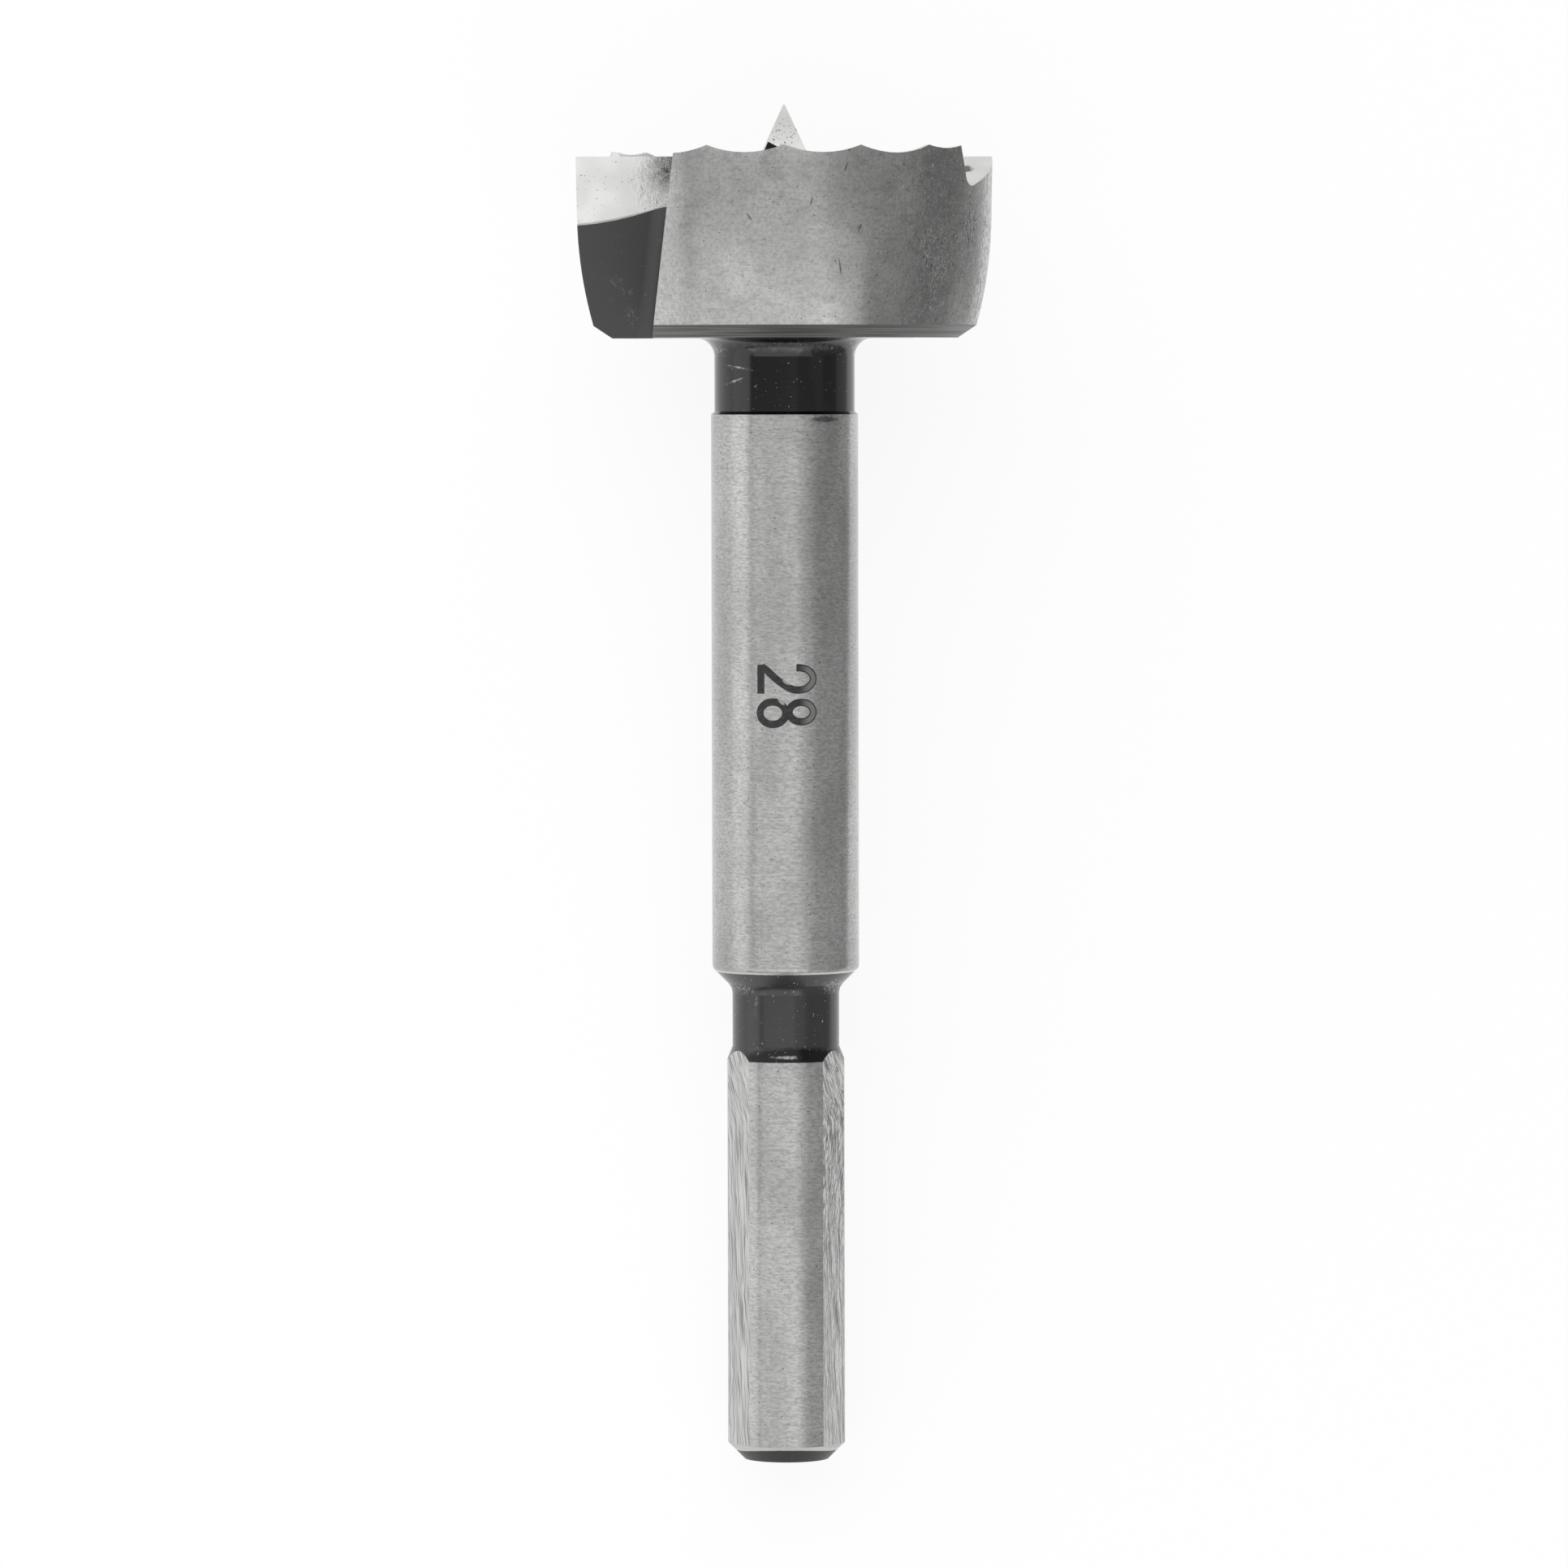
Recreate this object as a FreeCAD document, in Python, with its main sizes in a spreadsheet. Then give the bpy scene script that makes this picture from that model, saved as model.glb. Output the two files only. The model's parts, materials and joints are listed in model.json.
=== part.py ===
import FreeCAD, Part
import math
import os

import Sketcher
from FreeCAD import Placement, Rotation, Vector

# A forstner bit, 28 mm, turned, milled and ground from one bar of tool steel.
# Millimetres and degrees. The body is modelled along its own axis: Z = 0 is the end face of the
# shank, +Z points to the centre spur, -Y is the side that is up when the bit lies down.
# One half of the head is cut on the +X side, and its twin is the same cut turned by half a turn.

SIZES = {
    # chuck shank, the thin end with three milled flats
    "chuck_diameter": 7.95,
    "chuck_length": 27.2,
    "end_chamfer": 1.115,
    "flat_distance": 3.71,
    # waisted lower neck between the two shanks
    "shoulder_length": 0.9,
    "waist_diameter": 7.24,
    "waist_length": 3.98,
    "waist_fillet": 0.9,
    # main shank
    "shank_diameter": 9.95,
    "shank_length": 37.47,
    "shank_corner": 0.4,
    # neck under the head
    "neck_step": 0.2,
    "neck_diameter": 9.5,
    "neck_length": 4.95,
    "neck_fillet": 1.25,
    # head, turned: flat back, chamfer, curved skirt, wall with a little back taper
    "head_height": 12.25,
    "back_chamfer": 1.22,
    "chamfer_rise": 0.85,
    "skirt_radius": 34.0,
    "skirt_diameter": 28.04,
    "wall_height": 3.6,
    "cut_diameter": 28.2,
    "rim_rise": 0.62,
    # wave teeth along the rim
    "wave_radius": 7.0,
    "wave_trough": 0.03,
    "wave_pitch": 21.3,
    "first_wave": -32.0,
    "last_wave": 50.1,
    "last_wave_rise": 0.33,
    # chip gullets, milled through the head in front of each lip, with a floor that leans back
    "gullet_offset": 0.93,
    "gullet_hook": 14.5,
    "gullet_width": 7.42,
    "gullet_slant": 6.58,
    "gullet_corner": 1.2,
    # lips: ground rake face in front, a little steeper than the gullet's floor, clearance behind
    "lip_offset": 0.9,
    "rake_angle": 17.0,
    "rake_wheel_radius": 18.5,
    "rake_wheel_centre": 15.2,
    "rake_depth": 4.8,
    "rake_wheel_width": 4.6,
    "clearance_angle": 16.7,
    "lip_start": 1.7,
    # inside of the rim, and its leading face
    "rim_bore": 24.8,
    "bevel_depth": 2.1,
    "bevel_land": 0.35,
    "bevel_start": -45.0,
    "bevel_span": 107.0,
    "lead_behind_lip": 7.7,
    "lead_slant": 17.0,
    "lead_corner": 0.8,
    # centre spur
    "spur_rise": 3.5,
    "spur_half_angle": 23.5,
    "spur_tip": 0.05,
    "spur_root": 1.7,
    "spur_turn": 4.0,
    "relief_face": 0.9,
    "relief_reach": 0.47,
    "relief_rise": 0.66,
    "relief_slope": 28.0,
}

WAVES = 4
FLATS = 3
HALVES = 2

# How far, in millimetres, a ring edge may be from where it is looked for
RING_MISS = 1e-4

# Stations along the axis, each the sum of the lengths below it
WAIST_FOOT = "sizes.chuck_length + sizes.shoulder_length"
WAIST_TOP = WAIST_FOOT + " + sizes.waist_length"
SHANK_FOOT = WAIST_TOP + " + (sizes.shank_diameter - sizes.waist_diameter) / 2"
SHANK_TOP = SHANK_FOOT + " + sizes.shank_length"
NECK_FOOT = SHANK_TOP + " + sizes.neck_step"
HEAD_BACK = NECK_FOOT + " + sizes.neck_length"
LIP_PLANE = HEAD_BACK + " + sizes.head_height"
RIM_TOP = LIP_PLANE + " + sizes.rim_rise"
WALL_FOOT = LIP_PLANE + " - sizes.wall_height"

# Radii
CHUCK = "sizes.chuck_diameter / 2"
WAIST = "sizes.waist_diameter / 2"
SHANK = "sizes.shank_diameter / 2"
NECK = "sizes.neck_diameter / 2"
SKIRT = "sizes.skirt_diameter / 2"
RIM = "sizes.cut_diameter / 2"
CLEAR_OF_HEAD = "sizes.cut_diameter"


def make_sheet(document):
    """Put every driving size in an aliased cell of the spreadsheet."""
    sheet = document.addObject("Spreadsheet::Sheet", "sizes")
    for row, (name, value) in enumerate(SIZES.items(), start=1):
        sheet.set("A%d" % row, name)
        sheet.set("B%d" % row, str(value))
        sheet.setAlias("B%d" % row, name)
    document.recompute()
    return sheet


def value(body, expression):
    """The number that an expression of the sheet's sizes gives now."""
    return float(body.Document.getObject("sizes").evalExpression(expression))


def origin_feature(body, role):
    """One of the body's own origin planes or axes."""
    return [feature for feature in body.Origin.OriginFeatures if feature.Role == role][0]


def attach(body, item, plane, shift="0", rise="0", turn="0", turn_axis=Vector(0, 0, 1)):
    """Attach a sketch or a plane to an origin plane, given by its role, or to a plane of the
    body's own, then shift it along that plane's normal, raise it along that plane's own Y, or
    turn it about one of its axes."""
    support = origin_feature(body, plane) if isinstance(plane, str) else plane
    item.AttachmentSupport = [(support, "")]
    item.MapMode = "FlatFace"
    base = Vector(0, value(body, rise), value(body, shift))
    item.AttachmentOffset = Placement(base, Rotation(turn_axis, value(body, turn)))
    for place, expression in (("Base.z", shift), ("Base.y", rise), ("Rotation.Angle", turn)):
        if expression != "0":
            item.setExpression("AttachmentOffset." + place, expression)
    body.Document.recompute()


class Outline:
    """A closed sketch outline whose corners are dimensioned from the sketch's origin."""

    def __init__(self, body, name, plane, **place):
        """Start an empty sketch on one of the body's planes."""
        self.body = body
        self.sketch = body.newObject("Sketcher::SketchObject", name)
        attach(body, self.sketch, plane, **place)

    def point(self, corner):
        """A corner's place in the sketch, from its two expressions."""
        return Vector(value(self.body, corner[0]), value(self.body, corner[1]), 0)

    def bind(self, kind, expression, *points):
        """Add one dimension and tie it to an expression of the sheet's sizes."""
        number = self.sketch.addConstraint(
            Sketcher.Constraint(kind, *points, value(self.body, expression)))
        self.sketch.renameConstraint(number, "size%d" % number)
        self.sketch.setExpression("Constraints.size%d" % number, expression)

    def polygon(self, corners, arcs=None):
        """Join the corners by lines, anticlockwise. A side whose number is in arcs bulges outwards
        as an arc of that radius, or inwards where the radius starts with a minus sign."""
        arcs = arcs or {}
        places = [self.point(corner) for corner in corners]
        for side, start in enumerate(places):
            end = places[(side + 1) % len(places)]
            if side in arcs:
                self.sketch.addGeometry(self.arc(start, end, arcs[side]), False)
            else:
                self.sketch.addGeometry(Part.LineSegment(start, end), False)
        for side in range(len(places)):
            following = (side + 1) % len(places)
            self.sketch.addConstraint(Sketcher.Constraint(
                "Coincident", side, self.end_number(side, arcs, 2),
                following, self.end_number(following, arcs, 1)))
        for side, corner in enumerate(corners):
            start = self.end_number(side, arcs, 1)
            self.bind("DistanceX", corner[0], -1, 1, side, start)
            self.bind("DistanceY", corner[1], -1, 1, side, start)
        for side, radius in arcs.items():
            self.bind("Radius", radius.lstrip("-"), side)
        return self.sketch

    def arc(self, start, end, radius):
        """The shorter circular arc between two points."""
        size = value(self.body, radius)
        chord = end - start
        outward = Vector(chord.y, -chord.x, 0).normalize()
        bulge = abs(size) - math.sqrt(size ** 2 - (chord.Length / 2) ** 2)
        return Part.Arc(start, (start + end) * 0.5 + outward * math.copysign(bulge, size), end)

    def end_number(self, side, arcs, end):
        """Which end of a side comes first or second: a sketch keeps every arc anticlockwise."""
        if side in arcs and arcs[side].startswith("-"):
            return 3 - end
        return end

    def circle(self, across, up, radius):
        """A full circle."""
        centre = self.point((across, up))
        self.sketch.addGeometry(Part.Circle(centre, Vector(0, 0, 1), value(self.body, radius)), False)
        self.bind("DistanceX", across, -1, 1, 0, 3)
        self.bind("DistanceY", up, -1, 1, 0, 3)
        self.bind("Radius", radius, 0)
        return self.sketch


def cut(body, name, sketch, length=None, both_ways=False, reverse=False):
    """Cut away what a sketch covers, right through or to a length from the sheet."""
    pocket = body.newObject("PartDesign::Pocket", name)
    pocket.Profile = sketch
    if length is None:
        pocket.Type = "ThroughAll"
    else:
        pocket.Type = "Length"
        pocket.setExpression("Length", length)
    if both_ways:
        pocket.SideType = "Symmetric"
    pocket.Reversed = reverse
    body.Document.recompute()
    return pocket


def repeat(body, name, originals, copies, step):
    """Repeat cuts round the tool's axis, each turned by a step from the one before."""
    pattern = body.newObject("PartDesign::PolarPattern", name)
    pattern.Originals = originals
    pattern.Axis = (origin_feature(body, "Z_Axis"), [""])
    pattern.Mode = "Spacing"
    pattern.Occurrences = copies
    pattern.setExpression("Offset", step)
    body.Tip = pattern
    body.Document.recompute()
    return pattern


def ring(body, shape, radius, height):
    """Name of a turned shape's circular edge at a radius and a height."""
    for number, edge in enumerate(shape.Edges, start=1):
        if not isinstance(edge.Curve, Part.Circle):
            continue
        miss = abs(edge.Curve.Radius - value(body, radius))
        miss += abs(edge.Curve.Center.z - value(body, height))
        if miss < RING_MISS:
            return "Edge%d" % number
    raise ValueError("no ring of radius %s at %s" % (radius, height))


def round_ring(body, name, base, radius, ring_radius, height):
    """Round one ring edge of the turned shape."""
    rounding = body.newObject("PartDesign::Fillet", name)
    rounding.Base = (base, [ring(body, base.Shape, ring_radius, height)])
    rounding.setExpression("Radius", radius)
    body.Document.recompute()
    return rounding


def turned_blank(body):
    """The bar as it leaves the lathe, from the end face to the top of the rim."""
    drop = "(sizes.head_height - sizes.wall_height - sizes.chamfer_rise)"
    skirt_foot = SKIRT + " - sizes.skirt_radius + sqrt(sizes.skirt_radius ^ 2 - " + drop + " ^ 2)"
    corners = [
        ("0", "0"),
        (CHUCK + " - sizes.end_chamfer", "0"),
        (CHUCK, "sizes.end_chamfer"),
        (CHUCK, "sizes.chuck_length"),
        (WAIST, WAIST_FOOT),
        (WAIST, WAIST_TOP),
        (SHANK, SHANK_FOOT),
        (SHANK, SHANK_TOP),
        (NECK, NECK_FOOT),
        (NECK, HEAD_BACK),
        (skirt_foot + " - sizes.back_chamfer", HEAD_BACK),
        (skirt_foot, HEAD_BACK + " + sizes.chamfer_rise"),
        (SKIRT, WALL_FOOT),
        (RIM, RIM_TOP),
        ("0", RIM_TOP),
    ]
    skirt_side = 11
    sketch = Outline(body, "blank_outline", "XZ_Plane").polygon(
        corners, arcs={skirt_side: "sizes.skirt_radius"})
    blank = body.newObject("PartDesign::Revolution", "turned_blank")
    blank.Profile = sketch
    blank.ReferenceAxis = (sketch, ["V_Axis"])
    blank.Angle = 360
    body.Document.recompute()
    waist = round_ring(body, "waist_rounding", blank, "sizes.waist_fillet", WAIST, WAIST_TOP)
    corner = round_ring(body, "shank_corner_rounding", waist, "sizes.shank_corner", SHANK, SHANK_FOOT)
    return round_ring(body, "neck_rounding", corner, "sizes.neck_fillet", NECK, HEAD_BACK)


def shank_flats(body):
    """Three milled flats along the chuck shank, one of them on the side that lies down."""
    corners = [
        ("-sizes.chuck_diameter", "sizes.flat_distance"),
        ("sizes.chuck_diameter", "sizes.flat_distance"),
        ("sizes.chuck_diameter", "sizes.chuck_diameter"),
        ("-sizes.chuck_diameter", "sizes.chuck_diameter"),
    ]
    sketch = Outline(body, "flat_outline", "XY_Plane").polygon(corners)
    flat = cut(body, "shank_flat", sketch, length=WAIST_FOOT, reverse=True)
    return repeat(body, "shank_flats", [flat], FLATS, "360 / %d" % FLATS)


def wave_teeth(body):
    """Shallow round scallops with radial axes. Each runs across the head, so it serves both halves."""
    height = LIP_PLANE + " - sizes.wave_trough + sizes.wave_radius"
    upright = Vector(0, 1, 0)
    first = Outline(body, "wave_outline", "XZ_Plane", turn="sizes.first_wave", turn_axis=upright)
    wave = cut(body, "wave", first.circle("0", height, "sizes.wave_radius"), both_ways=True)
    repeat(body, "waves", [wave], WAVES, "sizes.wave_pitch")
    height = LIP_PLANE + " + sizes.last_wave_rise + sizes.wave_radius"
    last = Outline(body, "last_wave_outline", "XZ_Plane", turn="sizes.last_wave", turn_axis=upright)
    return cut(body, "last_wave", last.circle("0", height, "sizes.wave_radius"), both_ways=True)


def tilted_plane(body, name, plane="XY_Plane", **place):
    """A plane of the body's own, turned from another one."""
    tilted = body.newObject("PartDesign::Plane", name)
    attach(body, tilted, plane, **place)
    return tilted


def chip_gullet(body):
    """A corner milled out of the head from front to back. The cutter leans outwards, and back
    under the lip, so that the floor lifts the chips. The side stays square to the lip."""
    across = "sizes.gullet_width * cos(sizes.gullet_slant)"
    floor = "sizes.gullet_offset * cos(sizes.gullet_hook)"
    side_foot = "(" + floor + " + sizes.gullet_corner)"
    side_lean = "sin(sizes.gullet_slant) * tan(sizes.gullet_hook)"
    side_length = "(" + CLEAR_OF_HEAD + " - " + side_foot + ")"
    corners = [
        (across + " + sizes.gullet_corner", floor),
        (CLEAR_OF_HEAD, floor),
        (CLEAR_OF_HEAD, CLEAR_OF_HEAD),
        (across + " + " + side_length + " * " + side_lean, CLEAR_OF_HEAD),
        (across, side_foot),
    ]
    corner_side = 4
    hooked = tilted_plane(body, "hooked_plane", shift=LIP_PLANE,
                          turn="-sizes.gullet_hook", turn_axis=Vector(1, 0, 0))
    leaning = tilted_plane(body, "gullet_plane", hooked,
                           turn="-sizes.gullet_slant", turn_axis=Vector(0, 1, 0))
    outline = Outline(body, "gullet_outline", leaning, shift=CLEAR_OF_HEAD)
    sketch = outline.polygon(corners, arcs={corner_side: "sizes.gullet_corner"})
    return cut(body, "chip_gullet", sketch)


def rake_grind(body):
    """The print of the grinding wheel that sharpens a lip from the front."""
    outline = Outline(body, "rake_outline", "XZ_Plane", shift="-sizes.lip_offset", rise=LIP_PLANE,
                      turn="-sizes.rake_angle", turn_axis=Vector(1, 0, 0))
    sketch = outline.circle("sizes.rake_wheel_centre", "sizes.rake_wheel_radius - sizes.rake_depth",
                            "sizes.rake_wheel_radius")
    return cut(body, "rake_grind", sketch, length="sizes.rake_wheel_width")


def rim_bore(body):
    """The hollow inside a half of the rim, down to the clearance plane behind its lip."""
    floor = tilted_plane(body, "clearance_plane", shift=LIP_PLANE, rise="sizes.lip_offset",
                         turn="sizes.clearance_angle", turn_axis=Vector(1, 0, 0))
    bore = "sizes.rim_bore / 2"
    reach = "sqrt((" + bore + ") ^ 2 - sizes.gullet_offset ^ 2)"
    corners = [
        ("sizes.lip_start", "sizes.gullet_offset"),
        ("-sizes.lip_start", "-sizes.gullet_offset"),
        ("-" + reach, "-sizes.gullet_offset"),
        ("0", "-" + bore),
        (reach, "sizes.gullet_offset"),
    ]
    outline = Outline(body, "bore_outline", "XY_Plane", shift=RIM_TOP)
    pocket = body.newObject("PartDesign::Pocket", "rim_bore")
    pocket.Profile = outline.polygon(corners, arcs={2: bore, 3: bore})
    pocket.Type = "UpToFace"
    pocket.UpToFace = (floor, [""])
    body.Document.recompute()
    return pocket


def lead_grind(body):
    """The grind behind a lip, out to the wall. Above the lip it reaches forwards, and it ends
    behind at the leading face of the rim, which leans back, with a rounded corner between the
    two."""
    foot = "sizes.lip_offset - sizes.lead_behind_lip"
    foot_height = LIP_PLANE + " - sizes.lead_behind_lip * tan(sizes.clearance_angle)"
    tangent = "sizes.lead_corner / tan((90 + sizes.lead_slant - sizes.clearance_angle) / 2)"
    face_height = "(sizes.cut_diameter / 2)"
    corners = [
        ("sizes.lip_offset", LIP_PLANE),
        ("sizes.lip_offset + " + face_height, LIP_PLANE + " + " + face_height),
        (foot + " - " + face_height + " * tan(sizes.lead_slant)", foot_height + " + " + face_height),
        (foot + " - " + tangent + " * sin(sizes.lead_slant)",
         foot_height + " + " + tangent + " * cos(sizes.lead_slant)"),
        (foot + " + " + tangent + " * cos(sizes.clearance_angle)",
         foot_height + " + " + tangent + " * sin(sizes.clearance_angle)"),
    ]
    corner_side = 3
    outline = Outline(body, "lead_outline", "YZ_Plane")
    sketch = outline.polygon(corners, arcs={corner_side: "sizes.lead_corner"})
    return cut(body, "lead_grind", sketch, reverse=True)


def rim_bevel(body):
    """The ground bevel that brings the rim to an edge from the inside."""
    corners = [
        ("sizes.rim_bore / 2", LIP_PLANE + " - sizes.bevel_depth"),
        (RIM + " - sizes.bevel_land", RIM_TOP),
        ("sizes.rim_bore / 2", RIM_TOP),
    ]
    outline = Outline(body, "bevel_outline", "XZ_Plane",
                      turn="sizes.bevel_start - 90", turn_axis=Vector(0, 1, 0))
    bevel = body.newObject("PartDesign::Groove", "rim_bevel")
    bevel.Profile = outline.polygon(corners)
    bevel.ReferenceAxis = (origin_feature(body, "Z_Axis"), [""])
    bevel.setExpression("Angle", "sizes.bevel_span")
    body.Document.recompute()
    return bevel


def centre_spur(body):
    """The centre point: a four-sided pyramid that stands on the web between the lips."""
    root = "(sizes.spur_tip + (sizes.spur_rise + sizes.spur_root) * tan(sizes.spur_half_angle))"
    corners = [
        ("-" + root, "-" + root),
        (root, "-" + root),
        (root, root),
        ("-" + root, root),
    ]
    outline = Outline(body, "spur_outline", "XY_Plane", shift=LIP_PLANE + " - sizes.spur_root",
                      turn="sizes.spur_turn")
    spur = body.newObject("PartDesign::Pad", "centre_spur")
    spur.Profile = outline.polygon(corners)
    spur.setExpression("Length", "sizes.spur_rise + sizes.spur_root")
    spur.setExpression("TaperAngle", "-sizes.spur_half_angle")
    body.Document.recompute()
    return spur


def spur_relief(body):
    """A nick above the lips where the grinding wheel caught one corner of the spur."""
    nick = LIP_PLANE + " + sizes.relief_rise"
    beyond = "sizes.spur_rise"
    corners = [
        ("-sizes.relief_reach", LIP_PLANE),
        ("-sizes.relief_reach", nick),
        ("-" + beyond, nick + " + (" + beyond + " - sizes.relief_reach) * tan(sizes.relief_slope)"),
        ("-" + beyond, LIP_PLANE),
    ]
    outline = Outline(body, "relief_outline", "XZ_Plane", shift="sizes.relief_face")
    return cut(body, "spur_relief", outline.polygon(corners), length=beyond, reverse=True)


def lay_down(body):
    """Lay the tool on its side as it comes to rest, on the third flat's end and the head's skirt."""
    skirt_middle = Vector(value(body, WALL_FOOT), value(body, SKIRT + " - sizes.skirt_radius"), 0)
    flat_end = Vector(value(body, "sizes.flat_distance - (" + CHUCK + " - sizes.end_chamfer)"),
                      value(body, "sizes.flat_distance"), 0)
    sight = skirt_middle - flat_end
    tilt = math.asin(value(body, "sizes.skirt_radius") / sight.Length) + math.atan2(sight.y, sight.x)
    body.Placement = Placement(Vector(), Rotation(Vector(1, 0, 0), math.degrees(tilt) - 90))
    box = body.Shape.optimalBoundingBox(False, False)
    body.Placement.Base = Vector(-box.Center.x, -box.Center.y, -box.ZMin)


def forstner_bit(document):
    """The whole tool, in the order in which it is made."""
    body = document.addObject("PartDesign::Body", "forstner_bit")
    body.Label = "forstner_bit"
    turned_blank(body)
    shank_flats(body)
    wave_teeth(body)
    half = [chip_gullet(body), rake_grind(body), rim_bore(body), lead_grind(body), rim_bevel(body)]
    repeat(body, "second_half", half, HALVES, "360 / %d" % HALVES)
    centre_spur(body)
    repeat(body, "second_relief", [spur_relief(body)], HALVES, "360 / %d" % HALVES)
    lay_down(body)
    return body


def check(document, body):
    """Stop where an object failed or the tool isn't one whole solid."""
    for item in document.Objects:
        if "Invalid" in item.State or "Error" in item.State:
            raise RuntimeError("%s failed: %s" % (item.Name, item.State))
    if body.Shape.isNull() or not body.Shape.isValid() or len(body.Shape.Solids) != 1:
        raise RuntimeError(body.Label + " isn't one valid solid")


def main():
    """Build the tool and write its solid."""
    document = FreeCAD.newDocument("forstner_bit")
    make_sheet(document)
    body = forstner_bit(document)
    check(document, body)
    os.makedirs("parts", exist_ok=True)
    body.Shape.exportStep(os.path.join("parts", body.Label + ".step"))
    box = body.Shape.optimalBoundingBox(False, False)
    print("%s: %.1f mm3, box %.2f x %.2f x %.2f mm" % (
        body.Label, body.Shape.Volume, box.XLength, box.YLength, box.ZLength))


main()
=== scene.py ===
import json
import logging
import math
from dataclasses import dataclass, field
from enum import Enum

import bmesh
import bpy
from mathutils import Matrix, Vector


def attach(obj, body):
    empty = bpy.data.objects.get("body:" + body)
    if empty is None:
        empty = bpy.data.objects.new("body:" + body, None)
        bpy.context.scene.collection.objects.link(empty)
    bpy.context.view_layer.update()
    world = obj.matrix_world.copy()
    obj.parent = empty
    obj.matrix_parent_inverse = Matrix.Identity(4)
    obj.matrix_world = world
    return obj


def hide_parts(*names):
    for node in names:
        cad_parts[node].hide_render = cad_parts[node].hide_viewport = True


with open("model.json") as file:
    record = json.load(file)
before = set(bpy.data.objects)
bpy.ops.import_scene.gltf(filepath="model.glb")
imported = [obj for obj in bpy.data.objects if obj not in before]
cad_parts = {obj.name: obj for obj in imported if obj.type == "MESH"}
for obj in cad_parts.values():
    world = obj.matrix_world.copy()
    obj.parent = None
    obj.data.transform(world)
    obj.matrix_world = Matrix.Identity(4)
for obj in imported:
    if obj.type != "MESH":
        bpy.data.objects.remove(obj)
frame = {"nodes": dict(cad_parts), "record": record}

# A forstner bit that lies on a pale floor: one piece of tool steel, ground bright on its shanks,
# rim and lips, with black lacquer left in the hollows and an etched size on the shank.
# Objects and the studio are in metres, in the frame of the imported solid. Sizes and patterns on the
# tool are in millimetres, in the tool's own space: Z runs from the end of the shank to the spur,
# and -Y is the upper side.

LOG = logging.getLogger("forstner_bit")
MM = 0.001
NODE = "forstner_bit"
BODY = "root"
UNROLLED = "unrolled_flats"
ACROSS = "across"
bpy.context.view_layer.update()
# A noise turns softly from one tone to the other between these two values
SOFT = (0.35, 0.65)
# Grain of pits and specks. Real ones are finer, and these are as coarse as they need to show
SPECK_GRAIN = (0.15, 0.15, 0.15)
# What feeds a node's input: another node's output, or else a number or a hex colour
Value = bpy.types.NodeSocket | float
Colour = bpy.types.NodeSocket | str


def linear(colour: str) -> tuple[float, float, float, float]:
    """Turn an sRGB hex colour into a linear one.

    Args:
        colour: "#RRGGBB".

    Returns:
        Red, green, blue and an alpha of 1.
    """
    parts = [int(colour[place:place + 2], 16) / 255 for place in (1, 3, 5)]
    curved = [part / 12.92 if part <= 0.04045 else ((part + 0.055) / 1.055) ** 2.4 for part in parts]
    return (*curved, 1.0)


def add(tree: bpy.types.NodeTree, kind: str, inputs: dict | None = None,
        **settings: object) -> bpy.types.Node:
    """Add one node, with its settings, its constants and the sockets that feed it.

    Args:
        tree: The node tree.
        kind: The node's type, without the leading "ShaderNode".
        inputs: Input name or number, and its constant or the output socket that feeds it.
        settings: The node's own properties.

    Returns:
        The node.
    """
    node = tree.nodes.new("ShaderNode" + kind)
    for name, setting in settings.items():
        setattr(node, name, setting)
    for name, source in (inputs or {}).items():
        if isinstance(source, bpy.types.NodeSocket):
            tree.links.new(source, node.inputs[name])
        else:
            node.inputs[name].default_value = source
    return node


def empty_material(name: str) -> bpy.types.Material:
    """Make a material that has no nodes yet.

    Args:
        name: Its name.

    Returns:
        The material.
    """
    material = bpy.data.materials.new(name)
    material.use_nodes = True
    material.node_tree.nodes.clear()
    return material


def placed(name: str, shape: bmesh.types.BMesh) -> bpy.types.Object:
    """Turn a finished shape into an object of the scene.

    Args:
        name: The name of the object and of its mesh.
        shape: The shape, which is freed.

    Returns:
        The object.
    """
    mesh = bpy.data.meshes.new(name)
    shape.to_mesh(mesh)
    shape.free()
    thing = bpy.data.objects.new(name, mesh)
    bpy.context.scene.collection.objects.link(thing)
    return thing


@dataclass(frozen=True)
class ToolSpace:
    """Where the tool lies in the frame.

    Attributes:
        base: The middle of the shank's end face.
        along: The tool's axis, towards the spur.
    """

    base: Vector
    along: Vector

    @property
    def turn(self) -> float:
        """The turn about X that takes the tool's own Z to its axis in the frame."""
        return math.atan2(-self.along.y, self.along.z)

    @property
    def matrix(self) -> Matrix:
        """From the tool's own space in millimetres to the frame."""
        return Matrix.Translation(self.base) @ Matrix.Rotation(self.turn, 4, "X") @ Matrix.Scale(MM, 4)

    @classmethod
    def measured(cls, node: bpy.types.Object, mount: dict) -> "ToolSpace":
        """Find the axis from the shank's mount, and the end face from the solid.

        Args:
            node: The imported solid.
            mount: The record's mount on the main shank.

        Returns:
            The tool's space.
        """
        point = Vector(mount["pos_m"])
        along = -Vector(mount["axis"]).normalized()
        end = min((vertex.co - point).dot(along) for vertex in node.data.vertices)
        return cls(point + along * end, along)


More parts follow.
